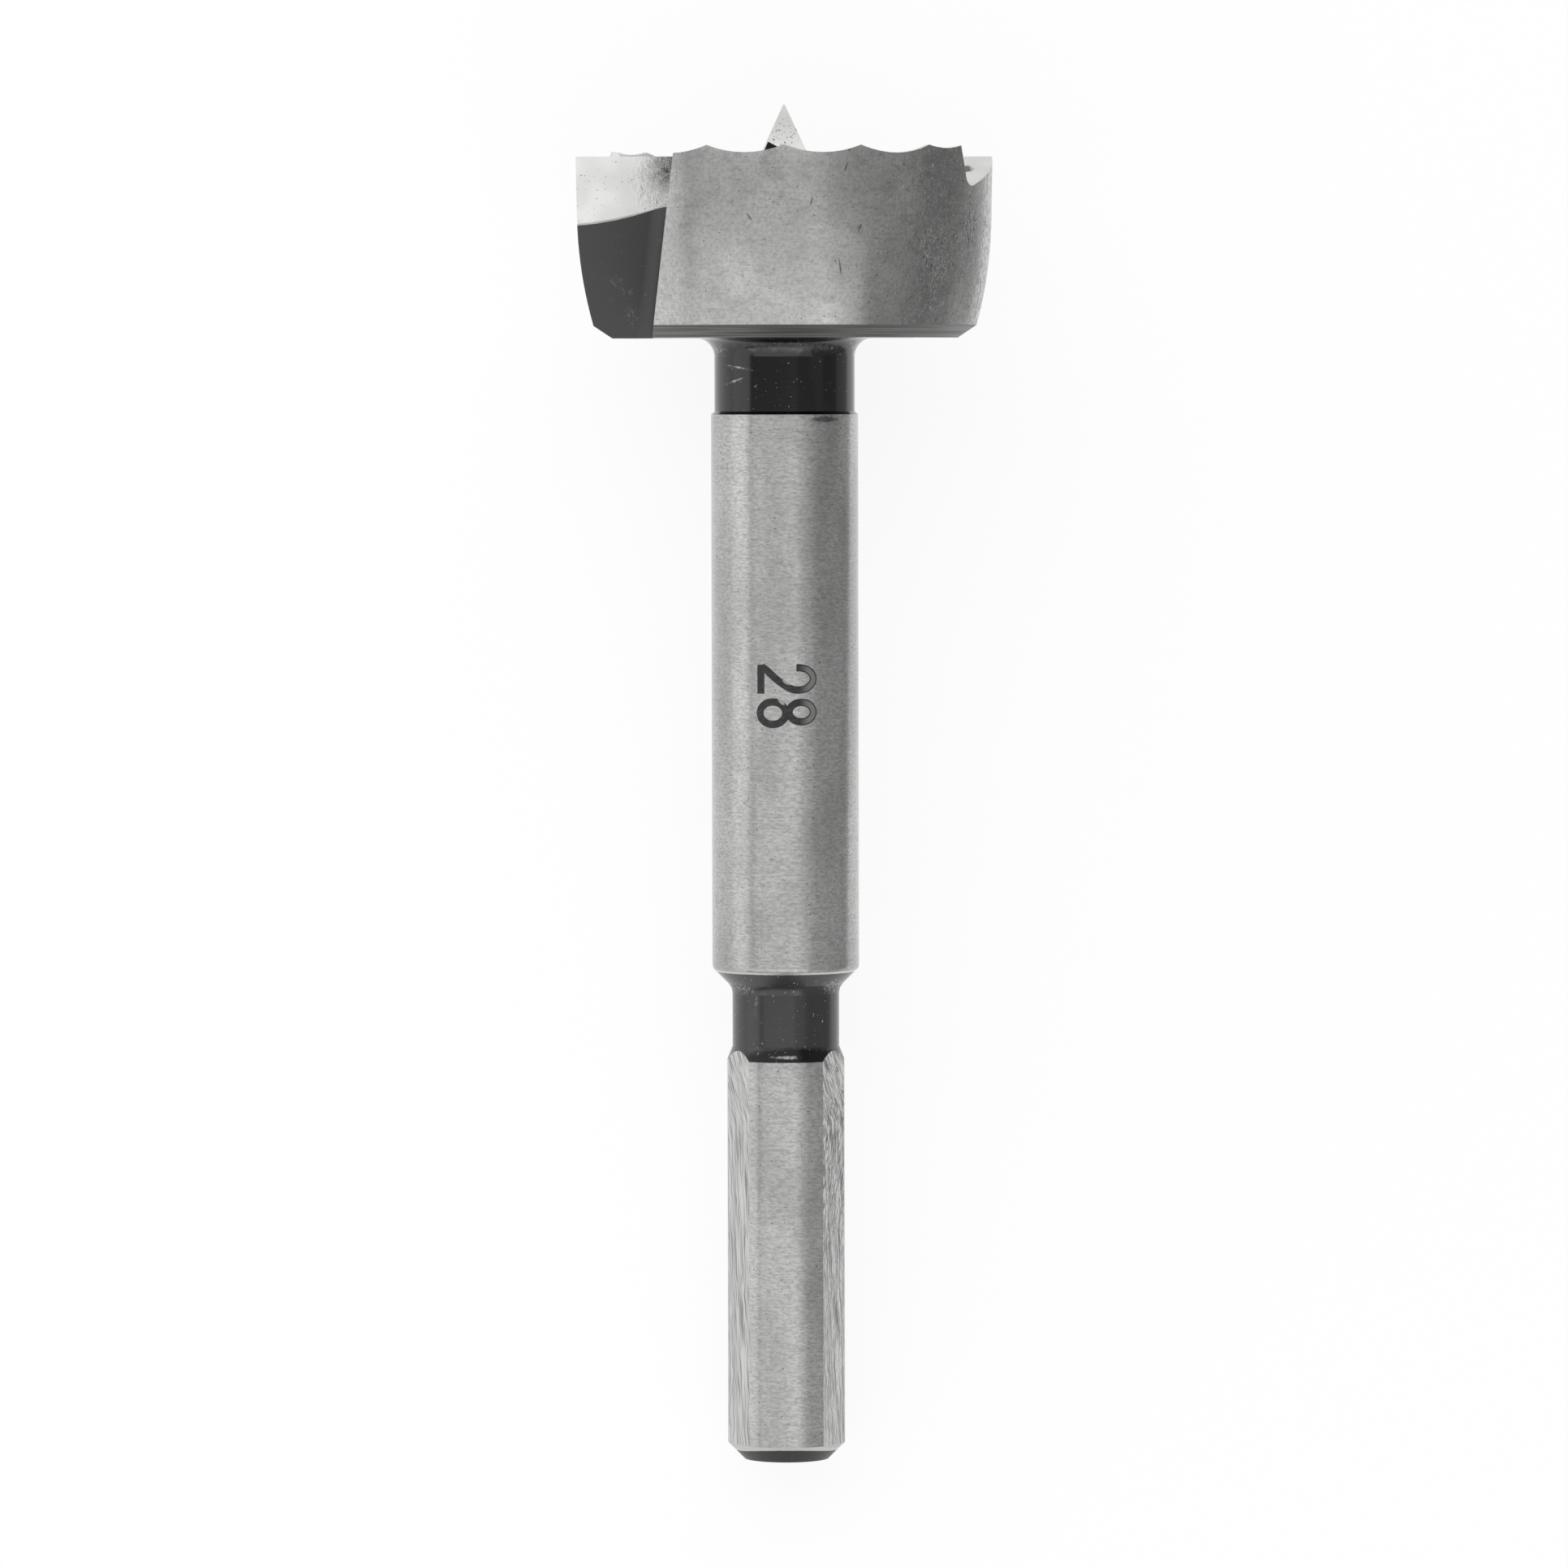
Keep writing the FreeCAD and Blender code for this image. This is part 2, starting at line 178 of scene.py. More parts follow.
@dataclass(frozen=True)
class ToolSizes:
    """Places and radii on the tool, in millimetres and degrees, that part its finishes."""

    end_chamfer: float = 1.115
    chuck_top: float = 27.2
    shank_foot: float = 33.32
    shank_top: float = 70.905
    head_back: float = 76.055
    lip_plane: float = 88.305
    shank_radius: float = 4.975
    flat_distance: float = 3.71
    flat_play: float = 0.01
    flats: int = 3
    first_flat: float = 90.0
    wall_inside: float = 12.9
    bore_radius: float = 12.4
    bore_play: float = 0.3
    web_radius: float = 3.2
    lip_offset: float = 0.9
    rake_angle: float = 17.0
    rake_play: float = 0.05
    burr_top: float = 85.6


SIZES = ToolSizes()


@dataclass(frozen=True)
class Leanings:
    """Limits on a face's unit normal, each named for the way that the faces past it lean."""

    straight_back: float = -0.95
    slanting_back: float = -0.5
    forwards: float = 0.2
    outwards: float = 0.9
    slanting_out: float = 0.3
    inwards: float = -0.9
    on_flat: float = 0.999
    on_rake: float = 0.9995


class Finish(Enum):
    """How a face of the tool was finished."""

    GROUND = "ground"
    WALL = "wall"
    MILLED = "milled"
    BURR = "burr"
    GULLET = "gullet"
    HONED = "honed"
    TURNED = "turned"
    LACQUER = "lacquer"
    WAIST = "waist"
    SCALE = "scale"


class Surface:
    """One material in the making: a node tree whose patterns are in the tool's own space."""

    def __init__(self, name: str, space: ToolSpace) -> None:
        """Start an empty material.

        Args:
            name: The material's name.
            space: Where the tool lies.
        """
        self.material = empty_material(name)
        self.tree = self.material.node_tree
        self.space = space
        place = self.add("TexCoord").outputs["Object"]
        self.own = self.add("Mapping", {"Vector": place, "Location": space.base,
                                        "Rotation": (space.turn, 0, 0), "Scale": (MM, MM, MM)},
                            vector_type="TEXTURE").outputs[0]

    def add(self, kind: str, inputs: dict | None = None, **settings: object) -> bpy.types.Node:
        """Add one node to this material's tree."""
        return add(self.tree, kind, inputs, **settings)

    def math(self, operation: str, *values: Value) -> bpy.types.NodeSocket:
        """A sum, product or other step between numbers."""
        return self.add("Math", dict(enumerate(values)), operation=operation).outputs[0]

    def stretched(self, size: tuple[float, float, float], turn: tuple = (0, 0, 0)) -> bpy.types.NodeSocket:
        """The tool's own space, turned and stretched so that one unit is a pattern's grain.

        Args:
            size: The grain's size along each axis, in millimetres.
            turn: Turns about X, Y and Z in degrees, made before the stretch.

        Returns:
            The coordinates.
        """
        turned = self.add("Mapping", {"Vector": self.own, "Rotation": [math.radians(a) for a in turn]})
        scale = [1 / side for side in size]
        return self.add("VectorMath", {0: turned.outputs[0], 1: scale}, operation="MULTIPLY").outputs[0]

    def noise(self, size: tuple[float, float, float], turn: tuple = (0, 0, 0), detail: float = 2.0,
              rough: float = 0.5) -> bpy.types.NodeSocket:
        """Cloudy noise whose grain has a real size.

        Args:
            size: The grain's size along each axis, in millimetres.
            turn: Turns about X, Y and Z, in degrees.
            detail: How many finer octaves are added.
            rough: The strength of each finer octave.

        Returns:
            A value about 0.5.
        """
        return self.add("TexNoise", {"Vector": self.stretched(size, turn), "Scale": 1.0, "Detail": detail,
                                     "Roughness": rough}).outputs["Fac"]

    def patch(self, middle: tuple[float, float, float], reach: tuple[float, float, float],
              ragged: float = 0.5, grain: float = 0.35, inner: float = 0.6,
              tilt: float = 0.0) -> bpy.types.NodeSocket:
        """A soft patch at one place on the tool.

        Args:
            middle: Its middle, in millimetres.
            reach: How far it goes along each axis, in millimetres.
            ragged: How uneven its edge is.
            grain: The size of that unevenness, in millimetres.
            inner: The share of its reach that is full.
            tilt: How far its top leans to the right, in degrees.

        Returns:
            1 in the patch and 0 outside it.
        """
        apart = self.add("VectorMath", {0: self.own, 1: middle}, operation="SUBTRACT").outputs[0]
        apart = self.add("Mapping", {"Vector": apart, "Rotation": (0, -math.radians(tilt), 0)}).outputs[0]
        shares = self.add("VectorMath", {0: apart, 1: [1 / side for side in reach]}, operation="MULTIPLY")
        length = self.add("VectorMath", {0: shares.outputs[0]}, operation="LENGTH").outputs["Value"]
        cloud = self.noise((grain, grain, grain), detail=3, rough=0.65)
        uneven = self.math("MULTIPLY_ADD", self.math("SUBTRACT", cloud, 0.5), 2 * ragged, length)
        return self.span(uneven, 1.0, inner)

    def along(self) -> bpy.types.NodeSocket:
        """The direction of the tool's axis."""
        axis = self.space.along
        return self.add("CombineXYZ", {"X": axis.x, "Y": axis.y, "Z": axis.z}).outputs[0]

    def span(self, value: Value, low: float, high: float, start: float = 0.0,
             end: float = 1.0) -> bpy.types.NodeSocket:
        """Map a value's range to another one, smoothly and without going past its ends."""
        return self.add("MapRange", {"Value": value, "From Min": low, "From Max": high, "To Min": start,
                                     "To Max": end}, interpolation_type="SMOOTHSTEP").outputs[0]

    def blend(self, share: Value, first: Colour, second: Colour) -> bpy.types.NodeSocket:
        """Mix two colours.

        Args:
            share: How much of the second colour there is, from 0 to 1.
            first: The first colour.
            second: The second colour.

        Returns:
            The mixed colour.
        """
        first = linear(first) if isinstance(first, str) else first
        second = linear(second) if isinstance(second, str) else second
        return self.add("Mix", {"Factor": share, "A": first, "B": second}, data_type="RGBA",
                        clamp_factor=True).outputs["Result"]

    def bump(self, height: Value, depth: float,
             under: bpy.types.NodeSocket | None = None) -> bpy.types.NodeSocket:
        """Turn a height between 0 and 1 into a bump of a real depth.

        Args:
            height: The height.
            depth: The depth of the full height, in millimetres.
            under: A bump below this one.

        Returns:
            The bumped normal.
        """
        inputs = {"Height": height, "Distance": depth * MM}
        if under is not None:
            inputs["Normal"] = under
        return self.add("Bump", inputs).outputs[0]

    def finish(self, **inputs: object) -> bpy.types.Material:
        """End with the shader.

        Args:
            inputs: The shader's inputs, with _ for each space in a name.

        Returns:
            The finished material.
        """
        named = {name.replace("_", " "): value for name, value in inputs.items()}
        shader = self.add("BsdfPrincipled", named)
        self.add("OutputMaterial", {"Surface": shader.outputs[0]})
        return self.material


@dataclass(frozen=True)
class GroundSteel:
    """Tool steel ground between centres. The wheel's short fine marks run round it and spread each
    reflection along the tool, so the shanks show long soft bands of light with a leathery cross
    grain, a few pits and one dark stain.

    Attributes:
        bright: The steel in its brighter clouds.
        dull: The steel in its duller ones.
        line: The wheel's marks.
        pit: The pits and the stain.
        stain: The stain's middle and reach.
    """

    name: str = "tool_steel_cylindrical_ground"
    bright: str = "#C4C4C3"
    dull: str = "#B4B4B3"
    line: str = "#868685"
    pit: str = "#454544"
    roughness: float = 0.32
    anisotropic: float = 0.75
    stain: tuple = ((2.65, -4.2, 70.58), (1.15, 1.5, 0.24))

    def build(self, space: ToolSpace) -> bpy.types.Material:
        """Make the material.

        Args:
            space: Where the tool lies.

        Returns:
            The material.
        """
        steel = Surface(self.name, space)
        marks = steel.noise((0.34, 0.34, 0.12), turn=(0, -5, 0), detail=3, rough=0.7)
        rings = steel.noise((3.4, 3.4, 0.12), detail=2, rough=0.6)
        clouds = steel.noise((3.0, 3.0, 7.0), detail=1)
        tone = steel.blend(steel.span(clouds, *SOFT), self.dull, self.bright)
        tone = steel.blend(steel.span(marks, 0.34, 0.70, 0.0, 0.66), tone, self.line)
        tone = steel.blend(steel.span(rings, 0.45, 0.75, 0.0, 0.28), tone, self.line)
        streaks = steel.span(steel.noise((1.1, 1.1, 0.07), detail=2), 0.66, 0.74, 0.0, 0.5)
        tone = steel.blend(streaks, tone, self.line)
        drags = steel.span(steel.noise((0.09, 0.09, 5.5), detail=1), 0.70, 0.76, 0.0, 0.3)
        tone = steel.blend(drags, tone, self.line)
        pits = steel.span(steel.noise(SPECK_GRAIN, detail=1), 0.725, 0.77)
        tone = steel.blend(pits, tone, self.pit)
        stain = steel.patch(*self.stain, ragged=0.5, grain=0.3)
        tone = steel.blend(steel.math("MULTIPLY", stain, 0.7), tone, self.pit)
        normal = steel.bump(rings, 0.0012)
        return steel.finish(
            Base_Color=tone, Metallic=1.0, Anisotropic=self.anisotropic, Tangent=steel.along(),
            Roughness=self.roughness, Normal=steel.bump(marks, 0.0034, under=normal))


@dataclass(frozen=True)
class WallSteel:
    """The ground wall of the head. It rubs on the hole, so it is finely mottled and short slanting
    scratches cross it, and towards its leading side it is pitted, scored and gouged, with painted
    highlights on its worn steel and specks.

    Attributes:
        bright: The steel in its brighter clouds.
        dull: The steel in its duller ones.
        line: The wheel's marks, the smears and the rubbed lines.
        pit: The pits, gouges, scores and slashes.
        glint: Painted highlights on the worn steel and on specks.
        slant: The slant of what was rubbed or scored, in degrees.
        worn_between: Where across the tool the wear grows from none to full.
        slash_width: The width of each slash.
        scored: The middle and reach of the scored stretch.
        rough_patch: The middle and reach of the roughest place.
        gouges: The middle and reach of each gouge.
        slashes: The middle of each slash, its tilt in degrees and half its length.
    """

    name: str = "tool_steel_ground_and_rubbed"
    bright: str = "#BABAB9"
    dull: str = "#ADADAC"
    line: str = "#838382"
    pit: str = "#40403F"
    glint: str = "#F0F0EF"
    roughness: float = 0.3
    anisotropic: float = 0.7
    slant: float = 20.0
    worn_between: tuple = (5.0, 11.0)
    slash_width: float = 0.17
    scored: tuple = ((12.45, -6.6, 83.3), (0.75, 3.0, 2.8))
    rough_patch: tuple = ((10.3, -9.4, 81.3), (2.2, 3.0, 2.5))
    gouges: tuple = (((8.5, -11.2, 78.45), (0.6, 1.5, 0.4)), ((10.7, -9.1, 78.35), (0.4, 1.5, 0.45)),
                     ((6.5, -12.4, 81.65), (0.75, 1.5, 0.22)), ((9.1, -10.7, 77.5), (0.25, 1.5, 0.25)),
                     ((10.8, -8.9, 83.4), (0.8, 1.5, 0.3)), ((8.9, -10.8, 85.55), (0.4, 1.5, 0.14)))
    slashes: tuple = (((4.1, -13.4, 87.3), 20.0, 0.5), ((5.0, -13.1, 83.3), 24.0, 0.45),
                      ((3.7, -13.5, 80.7), -8.0, 0.8), ((8.35, -11.3, 78.65), 48.0, 0.6),
                      ((1.8, -13.9, 85.0), 15.0, 0.4), ((-2.3, -13.8, 84.0), -32.0, 0.4))

    def build(self, space: ToolSpace) -> bpy.types.Material:
        """Make the material.

        Args:
            space: Where the tool lies.

        Returns:
            The material.
        """
        steel = Surface(self.name, space)
        mottle = steel.noise((0.24, 0.24, 0.20), turn=(0, 15, 0), detail=3, rough=0.7)
        rings = steel.noise((2.2, 2.2, 0.12), detail=2)
        clouds = steel.noise((4.0, 4.0, 4.0), detail=1)
        tone = steel.blend(steel.span(clouds, *SOFT), self.dull, self.bright)
        smears = steel.noise((1.5, 1.5, 1.0), detail=3, rough=0.7)
        tone = steel.blend(steel.span(smears, 0.48, 0.72, 0.0, 0.4), tone, self.line)
        tone = steel.blend(steel.span(mottle, 0.36, 0.70, 0.0, 0.5), tone, self.line)
        tone = steel.blend(steel.span(rings, 0.45, 0.75, 0.0, 0.2), tone, self.line)
        rubs = steel.noise((0.10, 0.10, 0.9), turn=(0, -self.slant, 0), detail=2, rough=0.6)
        tone = steel.blend(steel.span(rubs, 0.66, 0.76, 0.0, 0.55), tone, self.line)
        for middle, tilt, half in self.slashes:
            reach = (self.slash_width / 2, 1.5, half)
            slash = steel.patch(middle, reach, ragged=0.2, inner=0.3, tilt=tilt)
            tone = steel.blend(steel.math("MULTIPLY", slash, 0.7), tone, self.pit)
        side = steel.add("SeparateXYZ", {0: steel.own})
        leading = steel.span(side.outputs["X"], *self.worn_between)
        specks = steel.noise(SPECK_GRAIN, detail=1)
        tone = steel.blend(steel.span(specks, 0.72, 0.77), tone, self.pit)
        rough = steel.noise((0.45, 0.45, 0.55), turn=(0, -self.slant, 0), detail=4, rough=0.75)
        worn = steel.math("MULTIPLY", leading, 0.4)
        worn = steel.math("MULTIPLY_ADD", steel.patch(*self.rough_patch, inner=0.2), 1.2, worn)
        for gouge in self.gouges:
            worn = steel.math("ADD", worn, steel.patch(*gouge, inner=0.1))
        wear = steel.math("MULTIPLY", steel.span(rough, 0.50, 0.66), worn)
        tone = steel.blend(steel.math("MULTIPLY", wear, 0.5), tone, self.pit)
        # Painted highlights: pale glints scattered over the worn steel
        painted_glint = steel.math("MULTIPLY", steel.span(rough, 0.45, 0.32), worn)
        tone = steel.blend(steel.math("MULTIPLY", painted_glint, 0.4), tone, self.glint)
        scores = steel.span(steel.noise((0.13, 0.13, 1.8), turn=(0, -self.slant, 0), detail=2), 0.47, 0.57)
        scores = steel.math("MULTIPLY", scores, steel.patch(*self.scored, inner=0.3))
        tone = steel.blend(steel.math("MULTIPLY", scores, 0.6), tone, self.pit)
        # Painted highlights on a few specks, growing towards the leading side
        glints = steel.math("MULTIPLY", steel.span(specks, 0.30, 0.26), leading)
        tone = steel.blend(glints, tone, self.glint)
        normal = steel.bump(mottle, 0.0035)
        normal = steel.bump(rubs, 0.003, under=normal)
        normal = steel.bump(wear, -0.06, under=normal)
        normal = steel.bump(scores, -0.03, under=normal)
        return steel.finish(
            Base_Color=tone, Metallic=1.0, Anisotropic=self.anisotropic, Tangent=steel.along(),
            Roughness=self.roughness, Normal=normal)


@dataclass(frozen=True)
class MilledSteel:
    """Flats cut across the chuck shank by a large end mill. Its sweeping marks slant at the top
    and run down nearly straight and wavy, and a chuck's jaws have scored the right flat.

    Attributes:
        bright: The crests of the marks.
        dull: Their troughs.
        score: All scores.
        slant: The marks' slant at the top, in degrees.
        straight: Their slant below it.
        slanting_between: Where along the tool the one passes into the other.
        jaw_slant: The slant of the jaws' scores, the other way.
        jaw_end: Where along the tool they end.
        jaw_fade: Where they grow from weak to full.
        deep_slant: The slant of a few deep scores at the top.
        deep_fade: Where those grow from weak to full.
        right_flat: Where across the tool all scores begin.
    """

    name: str = "tool_steel_end_milled"
    bright: str = "#D0D0CF"
    dull: str = "#888887"
    score: str = "#3E3E3D"
    roughness: float = 0.3
    slant: float = 26.0
    straight: float = 4.0
    slanting_between: tuple = (20.5, 25.5)
    jaw_slant: float = 17.0
    jaw_end: tuple = (25.2, 23.6)
    jaw_fade: tuple = (10.0, 21.5)
    deep_slant: float = 38.0
    deep_fade: tuple = (21.0, 25.5)
    right_flat: tuple = (0.5, 1.5)

    def lines(self, steel: Surface, turn: float, size: tuple[float, float]) -> bpy.types.NodeSocket:
        """Straight cutter marks on the unrolled flats.

        Args:
            steel: The material in the making.
            turn: Their turn from the tool's length, in degrees.
            size: Their width and length, in millimetres.

        Returns:
            A value about 0.5.
        """
        flat = steel.add("UVMap", uv_map=UNROLLED).outputs[0]
        turned = steel.add("Mapping", {"Vector": flat, "Rotation": (0, 0, math.radians(turn))})
        wander = steel.noise((0.9, 0.9, 1.5), detail=1)
        shift = steel.add("CombineXYZ", {"X": steel.math("MULTIPLY", wander, 0.5)})
        shifted = steel.add("VectorMath", {0: turned.outputs[0], 1: shift.outputs[0]}, operation="ADD")
        scaled = steel.add("VectorMath", {0: shifted.outputs[0], 1: (1 / size[0], 1 / size[1], 1)},
                           operation="MULTIPLY")
        return steel.add("TexNoise", {"Vector": scaled.outputs[0], "Scale": 1.0, "Detail": 2.0,
                                      "Roughness": 0.6}).outputs["Fac"]

    def build(self, space: ToolSpace) -> bpy.types.Material:
        """Make the material.

        Args:
            space: Where the tool lies.

        Returns:
            The material.
        """
        steel = Surface(self.name, space)
        place = steel.add("SeparateXYZ", {0: steel.own})
        along, aside = place.outputs["Z"], place.outputs["X"]
        cuts = steel.add("Mix", {"Factor": steel.span(along, *self.slanting_between),
                                 "A": self.lines(steel, -self.straight, (0.12, 4.0)),
                                 "B": self.lines(steel, -self.slant, (0.09, 2.0))}).outputs["Result"]
        tone = steel.blend(steel.span(cuts, 0.34, 0.60), self.dull, self.bright)
        jaws = steel.span(self.lines(steel, self.jaw_slant, (0.14, 1.2)), 0.52, 0.58)
        jaws = steel.math("MULTIPLY", jaws, steel.span(along, *self.jaw_end))
        jaws = steel.math("MULTIPLY", jaws, steel.span(along, *self.jaw_fade, 0.35, 1.0))
        deep = steel.span(self.lines(steel, -self.deep_slant, (0.11, 1.5)), 0.54, 0.60)
        deep = steel.math("MULTIPLY", deep, steel.span(along, *self.deep_fade, 0.3, 1.0))
        scores = steel.math("MULTIPLY", steel.math("MAXIMUM", jaws, deep),
                            steel.span(aside, *self.right_flat))
        tone = steel.blend(steel.math("MULTIPLY", scores, 0.7), tone, self.score)
        normal = steel.bump(cuts, 0.010)
        return steel.finish(Base_Color=tone, Metallic=1.0, Roughness=self.roughness,
                            Normal=steel.bump(scores, -0.012, under=normal))


@dataclass(frozen=True)
class HonedSteel:
    """Rake, clearance and rim faces, the last ones ground, on a fine wheel. They are the
    brightest faces, with small specks, pits on the spur, a darker gritty patch by the web and painted
    shade in a corner near a lip's outer end.

    Attributes:
        bright: The steel in its brighter clouds.
        dull: The steel in its duller ones.
        stain: The darker patch's colour.
        speck: The small specks.
        pit: The pits on the spur.
        corner_shade: The painted shade in the corner near the lip's outer end.
        tip: The spur's tip.
        dark_patch: The darker patch's middle and reach.
        grit_patch: The middle and reach of its grit.
        spur_pits: The middle and reach of the pitted place.
        painted_corner_shade: The middle and reach of that painted shade.
        tip_fade: Where along the tool the spur takes on its tip's colour.
    """

    name: str = "tool_steel_fine_ground"
    bright: str = "#D2D2D0"
    dull: str = "#C8C8C6"
    stain: str = "#30302F"
    speck: str = "#7C7C7B"
    pit: str = "#6E6E6D"
    corner_shade: str = "#0C0C0C"
    tip: str = "#9A9A98"
    roughness: float = 0.3
    dark_patch: tuple = ((-7.1, -0.4, 87.5), (2.7, 3.5, 2.5))
    grit_patch: tuple = ((-7.6, -0.8, 86.6), (3.2, 3.5, 2.6))
    spur_pits: tuple = ((0.0, -1.0, 90.0), (1.6, 2.0, 1.3))
    painted_corner_shade: tuple = ((12.2, -2.1, 87.40), (0.62, 1.6, 0.35))
    tip_fade: tuple = (88.7, 91.0)

    def build(self, space: ToolSpace) -> bpy.types.Material:
        """Make the material.

        Args:
            space: Where the tool lies.

        Returns:
            The material.
        """
        steel = Surface(self.name, space)
        lines = steel.noise((0.12, 0.5, 0.5), turn=(0, 20, 0), detail=3, rough=0.6)
        clouds = steel.noise((2.4, 2.4, 2.4), detail=1)
        tone = steel.blend(steel.span(clouds, *SOFT), self.dull, self.bright)
        specks = steel.noise(SPECK_GRAIN, detail=1)
        tone = steel.blend(steel.span(specks, 0.70, 0.76), tone, self.speck)
        pitted = steel.patch(*self.spur_pits, ragged=0.3)
        tone = steel.blend(steel.math("MULTIPLY", steel.span(specks, 0.60, 0.68), pitted), tone, self.pit)
        # A darker gritty patch by the web
        dark_patch = steel.patch(*self.dark_patch, ragged=0.3, grain=0.5, inner=0.15)
        grain = steel.noise((0.11, 0.11, 0.16), detail=3, rough=0.75)
        dark = steel.math("MULTIPLY", dark_patch, steel.span(grain, 0.34, 0.62, 0.5, 1.0))
        tone = steel.blend(dark, tone, self.stain)
        # Painted shade: a black spot in the corner near the lip's outer end
        tone = steel.blend(steel.patch(*self.painted_corner_shade, ragged=0.5, grain=0.25), tone, self.corner_shade)
        height = steel.add("SeparateXYZ", {0: steel.own}).outputs["Z"]
        tone = steel.blend(steel.span(height, *self.tip_fade, 0.0, 0.45), tone, self.tip)
        grit = steel.math("MULTIPLY", steel.patch(*self.grit_patch, ragged=0.4, inner=0.2), grain)
        normal = steel.bump(lines, 0.0018)
        return steel.finish(Base_Color=tone, Metallic=1.0, Roughness=self.roughness,
                            Normal=steel.bump(grit, 0.05, under=normal))


@dataclass(frozen=True)
class TurnedSteel:
    """The chamfer at the back of the head, left from the lathe, with close tool rings. Its dark colour is
    painted: it stands for the reflection of the black neck.
    """

    name: str = "tool_steel_turned"
    bright: str = "#747473"
    dull: str = "#545453"
    roughness: float = 0.42

    def build(self, space: ToolSpace) -> bpy.types.Material:
        """Make the material.

        Args:
            space: Where the tool lies.

        Returns:
            The material.
        """
        steel = Surface(self.name, space)
        rings = steel.noise((9.0, 9.0, 0.11), detail=2)
        tone = steel.blend(steel.span(rings, *SOFT), self.dull, self.bright)
        return steel.finish(Base_Color=tone, Metallic=1.0, Roughness=self.roughness,
                            Normal=steel.bump(rings, 0.004))


@dataclass(frozen=True)
class BlackLacquer:
    """Thin black lacquer over turned and milled steel. It is smooth enough to show the bright
    side of the room, and holds small pale specks and smudges where it is rubbed, and painted highlights,
    reflections and shade where they are listed.

    Attributes:
        deep: The clean lacquer.
        rubbed: Its rubbed clouds.
        speck: Specks, smudges, scratches and painted highlights and reflections.
        shade_tone: The colour of the painted shade.
        steel: The bare steel past the lacquer's edge.
        shine: The specular level of clean lacquer.
        dulled: How much of the shine the painted shade takes.
        speck_from: The noise above which a speck shows.
        smudges_and_sheen: The middle and reach of each pale patch, the noise above which it shows, and its
            strength: smudges, and painted highlights and reflections.
        scratches: The middle of each, its tilt in degrees and half its length.
        scratch_width: The width of each scratch.
        painted_shade: The middle and reach of each patch of painted shade.
        bare_from: Where along the tool the lacquer ends.
        bowed: How much earlier it ends beside the middle, for each square millimetre.
    """

    name: str = "black_lacquer_on_tool_steel"
    deep: str = "#050505"
    rubbed: str = "#4A4A49"
    speck: str = "#B5B5B4"
    shade_tone: str = "#080808"
    steel: str = "#C4C4C3"
    roughness: float = 0.15
    ior: float = 1.55
    shine: float = 0.5
    dulled: float = 0.3
    speck_from: float = 0.74
    smudges_and_sheen: tuple = ()
    scratches: tuple = ()
    scratch_width: float = 0.2
    painted_shade: tuple = ()
    bare_from: float = math.inf
    bowed: float = 0.0

    def build(self, space: ToolSpace) -> bpy.types.Material:
        """Make the material.

        Args:
            space: Where the tool lies.

        Returns:
            The material.
        """
        coat = Surface(self.name, space)
        rings = coat.noise((4.0, 4.0, 0.18), detail=2)
        clouds = coat.noise((0.9, 0.9, 0.9), detail=3, rough=0.6)
        tone = coat.blend(coat.span(clouds, 0.62, 0.80, 0.0, 0.6), self.deep, self.rubbed)
        flecks = coat.noise((0.2, 0.2, 0.2), detail=3, rough=0.7)
        shine = self.shine
        # Painted shade: each patch darkens the colour and dulls the shine
        for patch in self.painted_shade:
            shade_mask = coat.patch(*patch, ragged=0.2)
            tone = coat.blend(shade_mask, tone, self.shade_tone)
            shine = coat.math("MULTIPLY_ADD", shade_mask, -self.dulled, shine)
        # Pale patches: smudges, and painted highlights and reflections
        for middle, reach, start, strength in self.smudges_and_sheen:
            patch = coat.math("MULTIPLY", coat.patch(middle, reach, ragged=0.8, inner=0.0),
                              coat.span(flecks, start, start + 0.2, 0.0, strength))
            tone = coat.blend(patch, tone, self.speck)
        for middle, tilt, half in self.scratches:
            reach = (half, 2.5, self.scratch_width / 2)
            scratch = coat.patch(middle, reach, ragged=0.5, inner=0.0, tilt=tilt)
            scratch = coat.math("MULTIPLY", scratch, coat.span(flecks, 0.38, 0.6))
            tone = coat.blend(scratch, tone, self.speck)
        specks = coat.noise(SPECK_GRAIN, detail=1)
        tone = coat.blend(coat.span(specks, self.speck_from, self.speck_from + 0.06), tone, self.speck)
        if math.isinf(self.bare_from):
            return coat.finish(Base_Color=tone, Metallic=0.0, IOR=self.ior, Roughness=self.roughness,
                               Specular_IOR_Level=shine, Normal=coat.bump(rings, 0.002))
        place = coat.add("SeparateXYZ", {0: coat.own})
        ragged = coat.math("MULTIPLY_ADD", flecks, 0.06, place.outputs["Z"])
        side = coat.math("POWER", place.outputs["X"], 2.0)
        ragged = coat.math("MULTIPLY_ADD", side, self.bowed, ragged)
        bare = coat.span(ragged, self.bare_from, self.bare_from + 0.03)
        return coat.finish(Base_Color=coat.blend(bare, tone, self.steel), Metallic=bare, IOR=self.ior,
                           Specular_IOR_Level=shine, Roughness=self.roughness,
                           Normal=coat.bump(rings, 0.002))


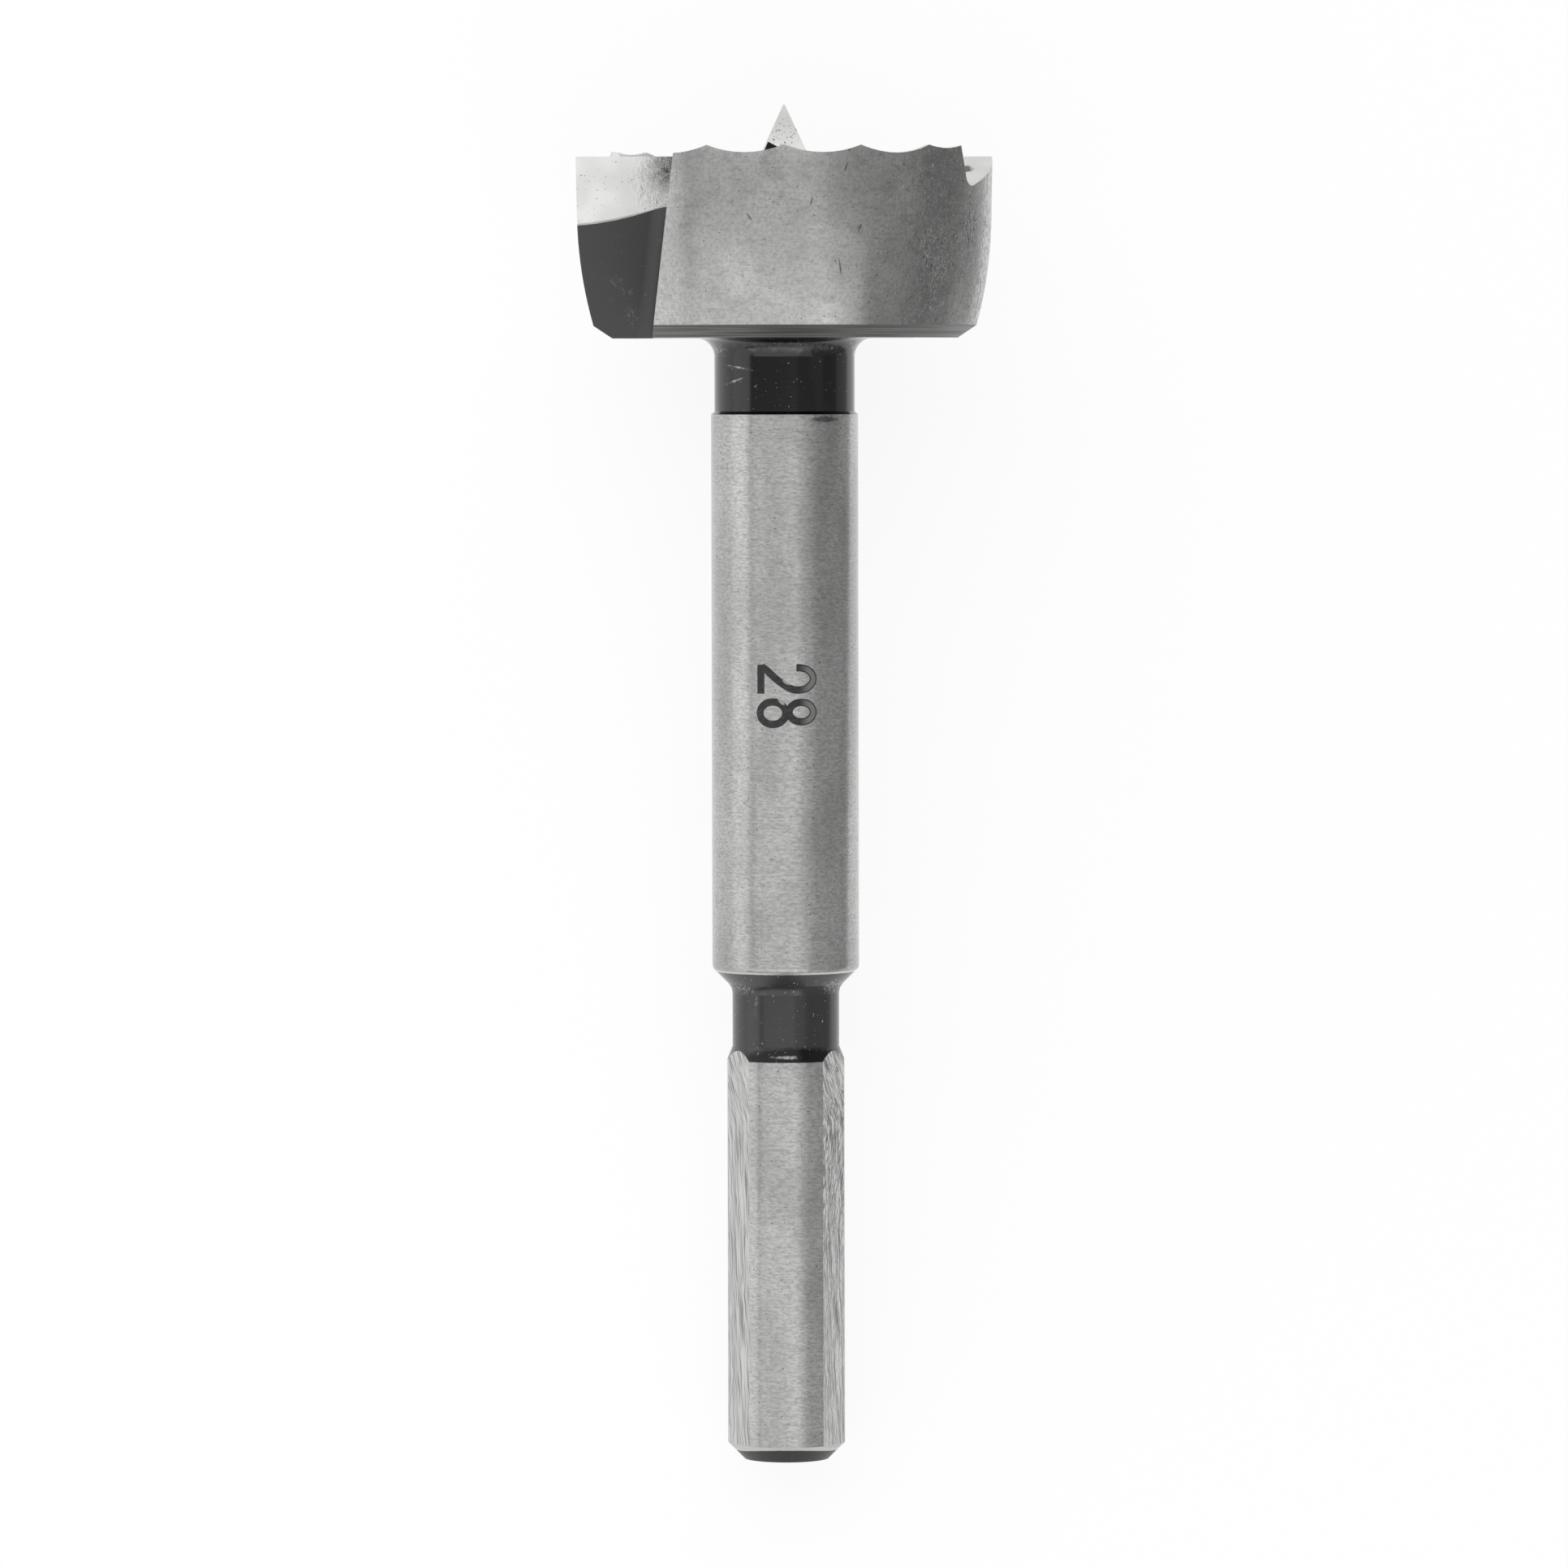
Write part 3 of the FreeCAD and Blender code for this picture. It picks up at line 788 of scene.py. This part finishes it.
@dataclass(frozen=True)
class EtchedMark:
    """Electro-etched figures: a dull dark grey skin that is thinner on the far side, where only
    its outline stays dark.

    Attributes:
        dark: The skin where it is thick.
        worn: The skin where it is thin.
        faded: The skin inside its outline on the far side.
        bare: The steel in the notches.
        fading_between: Where across the tool the skin goes from whole to faded.
        outline: Where across a stroke the outline ends and the faded part is reached, from 0 in
            the stroke's middle to 1 at its edge.
        notches: The middle and reach of each break in a stroke, and its tilt in degrees.
    """

    name: str = "tool_steel_electro_etched"
    dark: str = "#262626"
    worn: str = "#3C3C3C"
    faded: str = "#777776"
    bare: str = "#A6A6A5"
    roughness: float = 0.55
    fading_between: tuple = (0.9, 1.7)
    outline: tuple = (0.76, 0.6)
    notches: tuple = (((-0.25, -4.9, 51.6), (0.32, 1.0, 0.13), 42.0),
                      ((0.07, -4.9, 52.92), (0.36, 1.0, 0.11), 33.0))

    def build(self, space: ToolSpace) -> bpy.types.Material:
        """Make the material.

        Args:
            space: Where the tool lies.

        Returns:
            The material.
        """
        etch = Surface(self.name, space)
        grain = etch.noise((0.3, 0.3, 0.12), detail=2)
        side = etch.add("SeparateXYZ", {0: etch.own})
        across = etch.add("Attribute", attribute_name=ACROSS).outputs["Fac"]
        faded = etch.math("MULTIPLY", etch.span(side.outputs["X"], *self.fading_between),
                          etch.span(across, *self.outline))
        tone = etch.blend(etch.span(grain, 0.4, 0.75), self.dark, self.worn)
        tone = etch.blend(faded, tone, self.faded)
        gone = 0.0
        for middle, reach, tilt in self.notches:
            gone = etch.math("MAXIMUM", gone, etch.patch(middle, reach, ragged=0.3, tilt=tilt))
        tone = etch.blend(gone, tone, self.bare)
        return etch.finish(Base_Color=tone, Metallic=etch.math("MAXIMUM", gone, 0.3),
                           Roughness=self.roughness)


@dataclass
class SteelTool:
    """The whole tool: a merged copy of the solid, whose faces are sorted by how they were finished.

    Attributes:
        node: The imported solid.
        space: Where the tool lies.
        sizes: The places that part its finishes.
        leanings: The directions that part them.
        merge: Corners nearer than this are one, in metres.
        order: The finishes, in the order of the material slots.
        coats: The material of each finish.
    """

    node: bpy.types.Object
    space: ToolSpace
    sizes: ToolSizes = SIZES
    leanings: Leanings = Leanings()
    merge: float = 1e-7
    order: tuple = tuple(Finish)
    coats: dict = field(default_factory=lambda: {
        Finish.GROUND: GroundSteel(),
        Finish.WALL: WallSteel(),
        Finish.MILLED: MilledSteel(),
        Finish.HONED: HonedSteel(),
        Finish.TURNED: TurnedSteel(),
        # The raw edge that the wheel pushed up along the rake's foot, palest of all
        Finish.BURR: HonedSteel(name="tool_steel_wheel_burr", bright="#F4F4F2", dull="#E0E0DE",
                                roughness=0.4),
        # Matt dark grey, because the lacquer lies thinly on rough cutter marks
        Finish.GULLET: BlackLacquer(
            name="black_lacquer_on_milled_steel", deep="#323232", rubbed="#3C3C3C", speck="#6C6C6B",
            roughness=0.55, ior=1.6,
            smudges_and_sheen=(((-11.4, 1.0, 79.9), (0.9, 2.5, 0.6), 0.46, 0.8),
                     ((-10.6, 1.5, 79.2), (0.8, 2.5, 0.6), 0.46, 0.8),
                     ((-10.4, 2.0, 77.6), (0.7, 2.5, 0.8), 0.46, 0.8),
                     ((-8.2, 0.5, 82.6), (0.4, 2.0, 0.3), 0.46, 1.0))),
        # Deep black and glossy, with a speckled painted reflection of the floor along the fillet,
        # strongest at its sides, a pale mark lower down, and scratched on the left
        Finish.LACQUER: BlackLacquer(smudges_and_sheen=(
            # Painted reflection of the floor: pale patches at both sides of the fillet and a faint one
            # along it
            ((-4.6, -1.8, 75.3), (1.0, 2.0, 0.7), 0.46, 1.0),
            ((4.8, -1.8, 75.4), (1.0, 2.0, 0.8), 0.46, 1.0),
            ((0.6, -5.0, 75.42), (4.6, 4.0, 0.42), 0.2, 0.16),
            ((-1.9, -4.3, 72.6), (0.15, 1.0, 0.9), 0.55, 0.8)),
            scratches=(((-3.13, -3.5, 74.08), 10.7, 1.3), ((-3.27, -3.4, 73.19), -20.8, 0.9))),
        # Dark grey, with painted shade over the groove and one painted highlight low in it, and steel at
        # the top
        Finish.WAIST: BlackLacquer(
            name="thin_black_lacquer_on_turned_steel", deep="#202020", roughness=0.22, speck_from=0.72,
            smudges_and_sheen=(((-2.0, -3.1, 31.2), (0.14, 1.0, 0.7), 0.46, 1.0),
                     # Painted highlight: a bright line low in the groove
                     ((0.0, -3.6, 27.55), (1.25, 1.0, 0.15), 0.2, 1.0),
                     ((-3.0, -2.6, 32.0), (1.2, 1.5, 0.5), 0.46, 1.0),
                     ((3.4, -2.2, 32.3), (1.3, 1.5, 0.8), 0.46, 1.0)),
            # Painted shade: a dark band over the groove, which also dulls the shine
            painted_shade=(((0.8, -3.6, 27.4), (4.6, 3.5, 0.95)),), ior=1.6, bare_from=33.2),
        # Dull black on the end face, worn off the chamfer in a bow
        Finish.SCALE: BlackLacquer(name="forging_scale_on_tool_steel", deep="#0C0C0C", ior=1.5,
                                   roughness=0.4, speck_from=0.78, bare_from=0.93, bowed=0.025),
    })

    def finish_of(self, middle: Vector, normal: Vector) -> Finish:
        """Say how a face was finished, from its place and direction in the tool's own space.

        Args:
            middle: The face's middle, in millimetres.
            normal: Its outward direction.

        Returns:
            The finish.
        """
        sizes = self.sizes
        if middle.z < sizes.end_chamfer:
            return Finish.SCALE
        if middle.z < sizes.shank_foot:
            if self.on_flat(middle, normal):
                return Finish.MILLED
            return Finish.GROUND if middle.z < sizes.chuck_top else Finish.WAIST
        if middle.z < sizes.shank_top:
            return Finish.GROUND
        return self.finish_of_head(middle, normal)

    def on_flat(self, middle: Vector, normal: Vector) -> bool:
        """Say whether a face is part of one of the milled flats.

        Args:
            middle: The face's middle, in millimetres.
            normal: Its outward direction.

        Returns:
            Whether it is.
        """
        for number in range(self.sizes.flats):
            angle = math.radians(self.sizes.first_flat + 360 / self.sizes.flats * number)
            facing = Vector((math.cos(angle), math.sin(angle), 0))
            off = abs(middle.dot(facing) - self.sizes.flat_distance)
            if normal.dot(facing) > self.leanings.on_flat and off < self.sizes.flat_play:
                return True
        return False

    def finish_of_head(self, middle: Vector, normal: Vector) -> Finish:
        """Say how a face of the neck or the head was finished.

        Args:
            middle: The face's middle, in millimetres.
            normal: Its outward direction.

        Returns:
            The finish.
        """
        sizes, leanings = self.sizes, self.leanings
        radius = math.hypot(middle.x, middle.y)
        outward = normal.xy.dot(middle.xy.normalized())
        in_bore = abs(radius - sizes.bore_radius) < sizes.bore_play
        if middle.z < sizes.head_back or normal.z < leanings.straight_back:
            return Finish.LACQUER
        if radius > sizes.wall_inside and outward > leanings.outwards:
            return Finish.WALL
        if normal.z < leanings.slanting_back and outward > leanings.slanting_out:
            return Finish.TURNED
        if normal.z > leanings.forwards and middle.z < sizes.burr_top:
            return Finish.BURR
        if normal.z > leanings.forwards or (outward < leanings.inwards and in_bore):
            return Finish.HONED
        # The web's faces past the lip plane by the spur, facing neither forwards nor into the bore, take
        # the black lacquer and show dark
        if middle.z > sizes.lip_plane and radius < sizes.web_radius:
            return Finish.LACQUER
        return Finish.HONED if self.on_rake(middle, normal) else Finish.GULLET

    def on_rake(self, middle: Vector, normal: Vector) -> bool:
        """Say whether a face is part of the ground rake of either lip.

        Args:
            middle: The face's middle, in millimetres.
            normal: Its outward direction.

        Returns:
            Whether it is.
        """
        sizes = self.sizes
        side = math.copysign(1, middle.x)
        angle = math.radians(sizes.rake_angle)
        facing = Vector((0, side * math.cos(angle), -math.sin(angle)))
        depth = side * middle.y - sizes.lip_offset + (sizes.lip_plane - middle.z) * math.tan(angle)
        return normal.dot(facing) > self.leanings.on_rake and abs(depth) < sizes.rake_play

    def build(self) -> bpy.types.Object:
        """Merge the copy, sort its faces and keep the solid's own smooth normals.

        Returns:
            The piece.
        """
        source = self.node.data
        shape = bmesh.new()
        shape.from_mesh(source)
        bmesh.ops.remove_doubles(shape, verts=shape.verts, dist=self.merge)
        inward = self.space.matrix.inverted()
        turn = inward.to_3x3().normalized()
        unrolled = shape.loops.layers.uv.new(UNROLLED)
        for face in shape.faces:
            facing = (turn @ face.normal).normalized()
            finish = self.finish_of(inward @ face.calc_center_median(), facing)
            face.material_index = self.order.index(finish)
            face.smooth = True
            if finish is Finish.MILLED:
                for corner in face.loops:
                    place = inward @ corner.vert.co
                    corner[unrolled].uv = (place.y * facing.x - place.x * facing.y, place.z)
        piece = placed("steel_tool", shape)
        piece.data.normals_split_custom_set(self.kept_normals(source, piece.data))
        for finish in self.order:
            piece.data.materials.append(self.coats[finish].build(self.space))
        return piece

    def kept_normals(self, source: bpy.types.Mesh, mesh: bpy.types.Mesh) -> list[Vector]:
        """Find each corner's normal in the unmerged solid.

        Args:
            source: The solid's own mesh.
            mesh: The merged copy, with its faces in the same order.

        Returns:
            One normal for each corner of the copy.
        """
        normals = [Vector()] * len(mesh.loops)
        for old, new in zip(source.polygons, mesh.polygons):
            for corner in new.loop_indices:
                place = mesh.vertices[mesh.loops[corner].vertex_index].co
                nearest = min(old.loop_indices, key=lambda number: (
                    source.vertices[source.loops[number].vertex_index].co - place).length_squared)
                normals[corner] = source.corner_normals[nearest].vector.copy()
        return normals


@dataclass
class SizeMark:
    """The cutting diameter, etched round the main shank so that it reads towards the chuck.

    Attributes:
        space: Where the tool lies.
        shank_radius: The radius of the shank under it.
        top: Where along the tool the first figure starts.
        stroke: The width of a stroke.
        height: How far the etched skin stands proud.
        two_bowl: The curved stroke of the 2, as places round and along the shank.
        two_foot: Its straight stroke.
        eight_bowls: The middle and half sizes of each oval of the 8.
        oval_knots: How many points an oval's curve goes through.
        merge: Corners nearer than this are one.
    """

    space: ToolSpace
    shank_radius: float = SIZES.shank_radius
    top: float = 54.1
    stroke: float = 0.5
    height: float = 0.012
    two_bowl: tuple = ((0.763, 0.206), (1.05, 0.21), (1.64, 0.42), (1.936, 0.94), (1.64, 1.47),
                       (0.943, 1.70), (0.286, 1.57), (-0.136, 1.30), (-0.557, 0.994),
                       (-0.943, 0.65), (-1.335, 0.306), (-1.62, 0.13))
    two_foot: tuple = ((-1.665, 0.0), (-1.665, 0.65), (-1.665, 1.3), (-1.665, 1.95))
    eight_bowls: tuple = (((-0.84, 3.25), (0.88, 0.75)), ((1.10, 3.185), (0.84, 0.65)))
    oval_knots: int = 8
    merge: float = 1e-4

    def stroke_mesh(self, points: list[tuple[float, float]], closed: bool) -> bpy.types.Mesh:
        """Sweep a stroke's round section through points on the unrolled shank.

        Args:
            points: Places round and along the shank, in millimetres.
            closed: Whether the stroke ends where it starts.

        Returns:
            The stroke, still flat.
        """
        curve = bpy.data.curves.new("stroke", "CURVE")
        curve.dimensions = "3D"
        curve.bevel_depth = self.stroke / 2
        curve.bevel_resolution = 4
        curve.resolution_u = 10
        curve.use_fill_caps = not closed
        spline = curve.splines.new("BEZIER")
        spline.bezier_points.add(len(points) - 1)
        for knot, (around, down) in zip(spline.bezier_points, points):
            knot.co = (around, down, 0)
            knot.handle_left_type = knot.handle_right_type = "AUTO"
        spline.use_cyclic_u = closed
        carrier = bpy.data.objects.new("stroke", curve)
        bpy.context.scene.collection.objects.link(carrier)
        depsgraph = bpy.context.evaluated_depsgraph_get()
        mesh = bpy.data.meshes.new_from_object(carrier.evaluated_get(depsgraph))
        bpy.data.objects.remove(carrier)
        return mesh

    def build(self) -> bpy.types.Object:
        """Sweep the strokes, wrap them round the shank and join them.

        Returns:
            The piece.
        """
        shape = bmesh.new()
        for points, closed in self.strokes():
            shape.from_mesh(self.stroke_mesh(points, closed))
        bmesh.ops.remove_doubles(shape, verts=shape.verts, dist=self.merge)
        across = shape.verts.layers.float.new(ACROSS)
        for vertex in shape.verts:
            around, down, rise = vertex.co
            lift = rise / (self.stroke / 2)
            vertex[across] = math.sqrt(max(0.0, 1 - lift ** 2))
            radius = self.shank_radius + lift * self.height
            angle = around / self.shank_radius
            vertex.co = (radius * math.sin(angle), -radius * math.cos(angle), self.top - down)
        shape.transform(self.space.matrix)
        bmesh.ops.recalc_face_normals(shape, faces=shape.faces)
        for face in shape.faces:
            face.smooth = True
        piece = placed("size_mark", shape)
        piece.data.materials.append(EtchedMark().build(self.space))
        return piece

    def strokes(self) -> list[tuple[list[tuple[float, float]], bool]]:
        """List the strokes of the two figures.

        Returns:
            The points of each stroke, and whether it is closed.
        """
        ovals = []
        for (middle, down), (half_height, half_width) in self.eight_bowls:
            turns = [math.radians(360 / self.oval_knots * step) for step in range(self.oval_knots)]
            ovals.append(([(middle + half_height * math.cos(turn), down + half_width * math.sin(turn))
                           for turn in turns], True))
        return [(list(self.two_bowl), False), (list(self.two_foot), False), *ovals]


@dataclass
class Softbox:
    """A square studio lamp that shows in reflections as an even pale panel.

    Attributes:
        name: The lamp's name.
        across: Its direction round the tool from straight up, in degrees, to the right.
        lean: Its direction from straight up towards the spur, in degrees.
        size: Its width and length, in metres.
        level: Its radiance, where 1 is white.
        distance: How far away it stands, in metres.
    """

    name: str
    across: float
    lean: float
    size: tuple[float, float]
    level: float
    distance: float = 0.9

    def build(self) -> bpy.types.Object:
        """Make the lamp and aim it at the tool.

        Returns:
            The lamp.
        """
        lamp = bpy.data.lights.new(self.name, "AREA")
        lamp.shape = "RECTANGLE"
        lamp.size, lamp.size_y = self.size
        lamp.energy = self.level * math.pi * self.size[0] * self.size[1]
        box = bpy.data.objects.new(self.name, lamp)
        bpy.context.scene.collection.objects.link(box)
        aside = Matrix.Rotation(math.radians(self.across), 4, "Y")
        turn = aside @ Matrix.Rotation(math.radians(-self.lean), 4, "X")
        box.matrix_world = turn @ Matrix.Translation((0, 0, self.distance))
        box.visible_camera = False
        return box


@dataclass
class GreyCard:
    """A grey card at the tool's right side, which only the steel's reflections see. It gives each
    round part a dark band on that side.

    Attributes:
        name: The card's name.
        start: Where it starts along the tool, in metres.
        end: Where it ends.
        levels: Its radiance at its start and at its end, where 1 is white.
        foot: The height of its lower edge above the floor.
        top: The height of its upper edge.
        aside: How far it stands from the tool's middle.
    """

    name: str
    start: float
    end: float
    levels: tuple[float, float]
    foot: float = 0.0
    top: float = 0.036
    aside: float = 0.026

    def build(self) -> bpy.types.Object:
        """Stand the card up.

        Returns:
            The card.
        """
        shape = bmesh.new()
        corners = [shape.verts.new((self.aside, along, height)) for along, height in (
            (self.start, self.foot), (self.start, self.top), (self.end, self.top), (self.end, self.foot))]
        shape.faces.new(corners)
        card = placed(self.name, shape)
        card.visible_camera = card.visible_diffuse = card.visible_shadow = False
        card.visible_transmission = False
        material = empty_material(self.name + "_board")
        tree = material.node_tree
        place = add(tree, "SeparateXYZ", {0: add(tree, "TexCoord").outputs["Object"]})
        level = add(tree, "MapRange", {"Value": place.outputs["Y"], "From Min": self.start,
                                       "From Max": self.end, "To Min": self.levels[0],
                                       "To Max": self.levels[1]})
        board = add(tree, "Emission", {"Color": (1, 1, 1, 1), "Strength": level.outputs[0]})
        add(tree, "OutputMaterial", {"Surface": board.outputs[0]})
        card.data.materials.append(material)
        return card


@dataclass
class Studio:
    """A pale floor, soft lamps, grey cards and the camera.

    Attributes:
        floor_size: The floor's side, in metres.
        floor_colour: The paper's colour.
        glow: The share of white that the paper has without the lamps.
        room: The radiance of the room round it.
        cards: The grey cards.
        boxes: The lamps.
        camera_distance: From the camera to the point it looks at, in metres.
        camera_tilt: How far it leans to the shank's side, in degrees.
        camera_roll: Its turn about its view, in degrees.
        camera_along: The point that it looks at, along the tool in millimetres.
        camera_across: The same point across the tool.
        lens: Its focal length, in millimetres.
    """

    floor_size: float = 6.0
    floor_colour: str = "#F2F2F2"
    glow: float = 0.88
    room: float = 0.32
    cards: tuple = (
        GreyCard("shank_card_foot", start=-0.06, end=0.024, levels=(0.5, 0.35), top=0.009),
        GreyCard("shank_card", start=-0.06, end=0.024, levels=(0.62, 0.39), foot=0.009),
        GreyCard("head_card_foot", start=0.024, end=0.1, levels=(0.5, 0.5), top=0.014),
        GreyCard("head_card", start=0.024, end=0.1, levels=(0.28, 0.28), foot=0.014, top=0.027),
        GreyCard("head_card_top", start=0.024, end=0.1, levels=(0.44, 0.44), foot=0.027, top=0.045),
    )
    boxes: tuple = (
        Softbox("front_softbox", across=-15.0, lean=-35.7, size=(1.42, 0.907), level=1.0),
        Softbox("front_fill", across=36.0, lean=-35.7, size=(0.38, 0.907), level=0.7),
        Softbox("back_softbox", across=-15.0, lean=37.0, size=(1.42, 0.998), level=1.0),
        Softbox("left_softbox", across=-80.0, lean=0.0, size=(0.72, 1.6), level=0.95),
        Softbox("end_softbox", across=0.0, lean=76.0, size=(2.6, 0.35), level=0.9),
    )
    camera_distance: float = 0.6162
    camera_tilt: float = 4.59
    camera_roll: float = -0.12
    camera_along: float = 45.86
    camera_across: float = -0.09
    lens: float = 208.7

    def build(self, space: ToolSpace) -> None:
        """Set the whole studio up.

        Args:
            space: Where the tool lies.
        """
        self.build_floor()
        self.build_room()
        for thing in (*self.cards, *self.boxes):
            thing.build()
        self.build_camera(space)

    def build_floor(self) -> None:
        """Lay the floor. Its glow lifts it to the white of a lit paper sweep, and the light that
        falls on it adds the rest, so the tool's shadow stays."""
        shape = bmesh.new()
        bmesh.ops.create_grid(shape, x_segments=1, y_segments=1, size=self.floor_size / 2)
        floor = placed("floor", shape)
        material = empty_material("matt_paper_sweep")
        tree = material.node_tree
        path = add(tree, "LightPath")
        paper = add(tree, "BsdfDiffuse", {"Color": linear(self.floor_colour)})
        rest = 1 - self.glow
        dim = add(tree, "BsdfDiffuse", {"Color": (rest, rest, rest, 1)})
        light = add(tree, "Emission", {"Color": (1, 1, 1, 1), "Strength": self.glow})
        white = add(tree, "Emission", {"Color": (1, 1, 1, 1), "Strength": 1.0})
        lit = add(tree, "AddShader", {0: dim.outputs[0], 1: light.outputs[0]})
        seen = add(tree, "MixShader", {0: path.outputs["Is Camera Ray"], 1: paper.outputs[0],
                                       2: lit.outputs[0]})
        shown = add(tree, "MixShader", {0: path.outputs["Is Glossy Ray"], 1: seen.outputs[0],
                                        2: white.outputs[0]})
        add(tree, "OutputMaterial", {"Surface": shown.outputs[0]})
        floor.data.materials.append(material)

    def build_room(self) -> None:
        """Fill the room with even grey light, behind a white background."""
        world = bpy.data.worlds.new("room")
        bpy.context.scene.world = world
        world.use_nodes = True
        tree = world.node_tree
        tree.nodes.clear()
        path = add(tree, "LightPath")
        level = add(tree, "MapRange", {"Value": path.outputs["Is Camera Ray"], "To Min": self.room,
                                       "To Max": 1.0})
        back = add(tree, "Background", {"Color": (1, 1, 1, 1), "Strength": level.outputs[0]})
        add(tree, "OutputWorld", {"Surface": back.outputs[0]})

    def build_camera(self, space: ToolSpace) -> None:
        """Look down on the tool, from a little on the shank's side.

        Args:
            space: Where the tool lies.
        """
        lens = bpy.data.cameras.new("camera")
        lens.lens = self.lens
        lens.clip_start = 0.01
        camera = bpy.data.objects.new("camera", lens)
        bpy.context.scene.collection.objects.link(camera)
        aim = space.matrix @ Vector((self.camera_across, 0, self.camera_along))
        tilt = Matrix.Rotation(math.radians(self.camera_tilt), 4, "X")
        roll = Matrix.Rotation(math.radians(self.camera_roll), 4, "Z")
        camera.matrix_world = Matrix.Translation(aim) @ tilt @ Matrix.Translation(
            (0, 0, self.camera_distance)) @ roll
        bpy.context.scene.camera = camera


def main() -> None:
    """Build every piece in order, then the studio."""
    logging.basicConfig(level=logging.INFO, format="%(name)s: %(message)s")
    bpy.context.scene.view_settings.view_transform = "Standard"
    node = frame["nodes"][NODE]
    mounts = {mount["name"]: mount for mount in frame["record"]["mounts"]}
    space = ToolSpace.measured(node, mounts["main_shank"])
    LOG.info("axis %s from %s", tuple(space.along), tuple(space.base))

    tool = SteelTool(node, space).build()
    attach(tool, BODY)
    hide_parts(NODE)
    LOG.info("%s: %d faces", tool.name, len(tool.data.polygons))

    mark = SizeMark(space).build()
    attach(mark, BODY)
    LOG.info("%s: %d faces", mark.name, len(mark.data.polygons))

    Studio().build(space)


if __name__ == "__main__":
    main()
